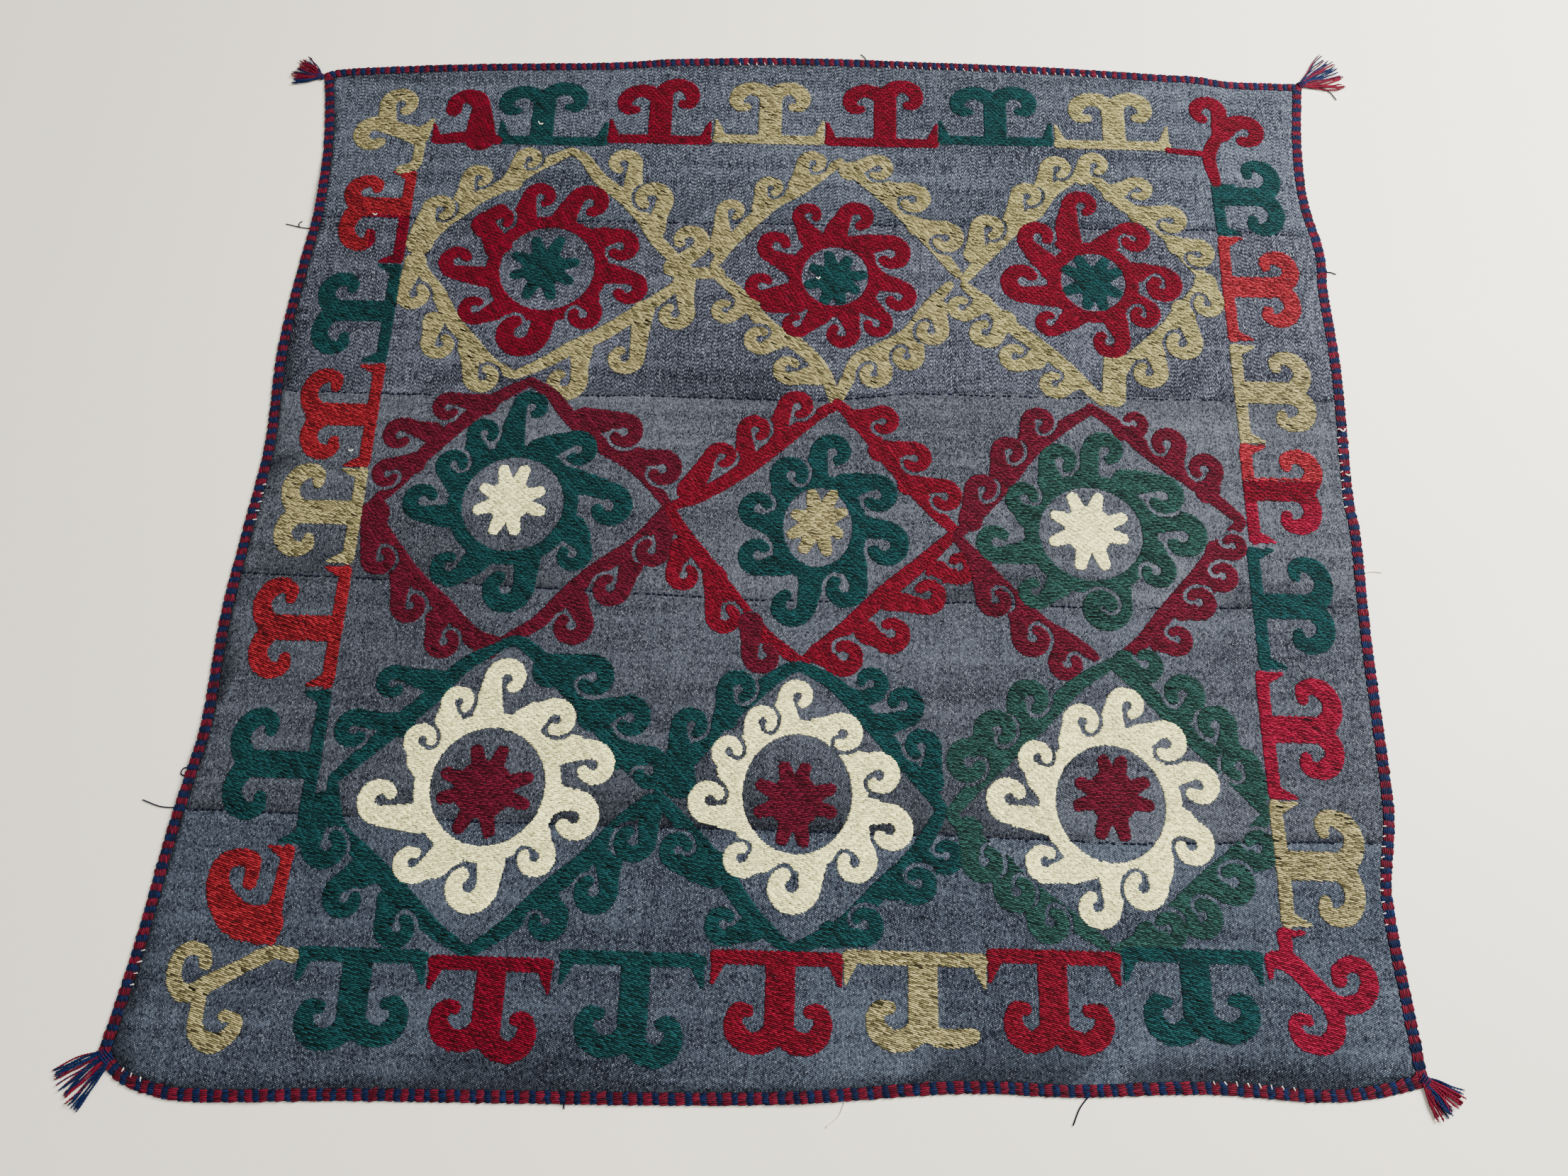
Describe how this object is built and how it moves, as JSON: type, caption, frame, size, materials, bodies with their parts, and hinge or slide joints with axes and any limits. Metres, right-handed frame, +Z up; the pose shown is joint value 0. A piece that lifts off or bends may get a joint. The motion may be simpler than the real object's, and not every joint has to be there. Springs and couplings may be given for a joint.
{
  "type": "embroidered handwoven wall hanging",
  "caption": "Square embroidered hanging of handwoven panels sewn side by side, lying flat, with a plaited braid round its edge and a yarn tassel at each corner.",
  "frame": {"origin": "On the surface that the cloth lies on, under the middle of the whole part's box.", "axes": "+X runs along the seams to the right as the motifs are seen, +Y across the seams to the top edge, +Z up out of the embroidered face."},
  "size_m": [1.5386, 1.4406, 0.007],
  "materials": {
    "twill_ground": "matt handwoven blue-grey twill of cotton and wool, worked all over with couched yarn",
    "plaited_braid": "flat plait of matt woollen yarn in blocks of crimson and navy",
    "tassel_yarn": "loose matt woollen yarn in navy and crimson"
  },
  "bodies": {
    "root": {"panel_bottom": "twill_ground", "panel_lower": "twill_ground", "panel_middle": "twill_ground", "panel_upper": "twill_ground", "panel_top": "twill_ground", "braid_bottom": "plaited_braid", "braid_top": "plaited_braid", "braid_left": "plaited_braid", "braid_right": "plaited_braid", "tassel_bottom_left": "tassel_yarn", "tassel_bottom_right": "tassel_yarn", "tassel_top_left": "tassel_yarn", "tassel_top_right": "tassel_yarn"}
  },
  "joints": []
}
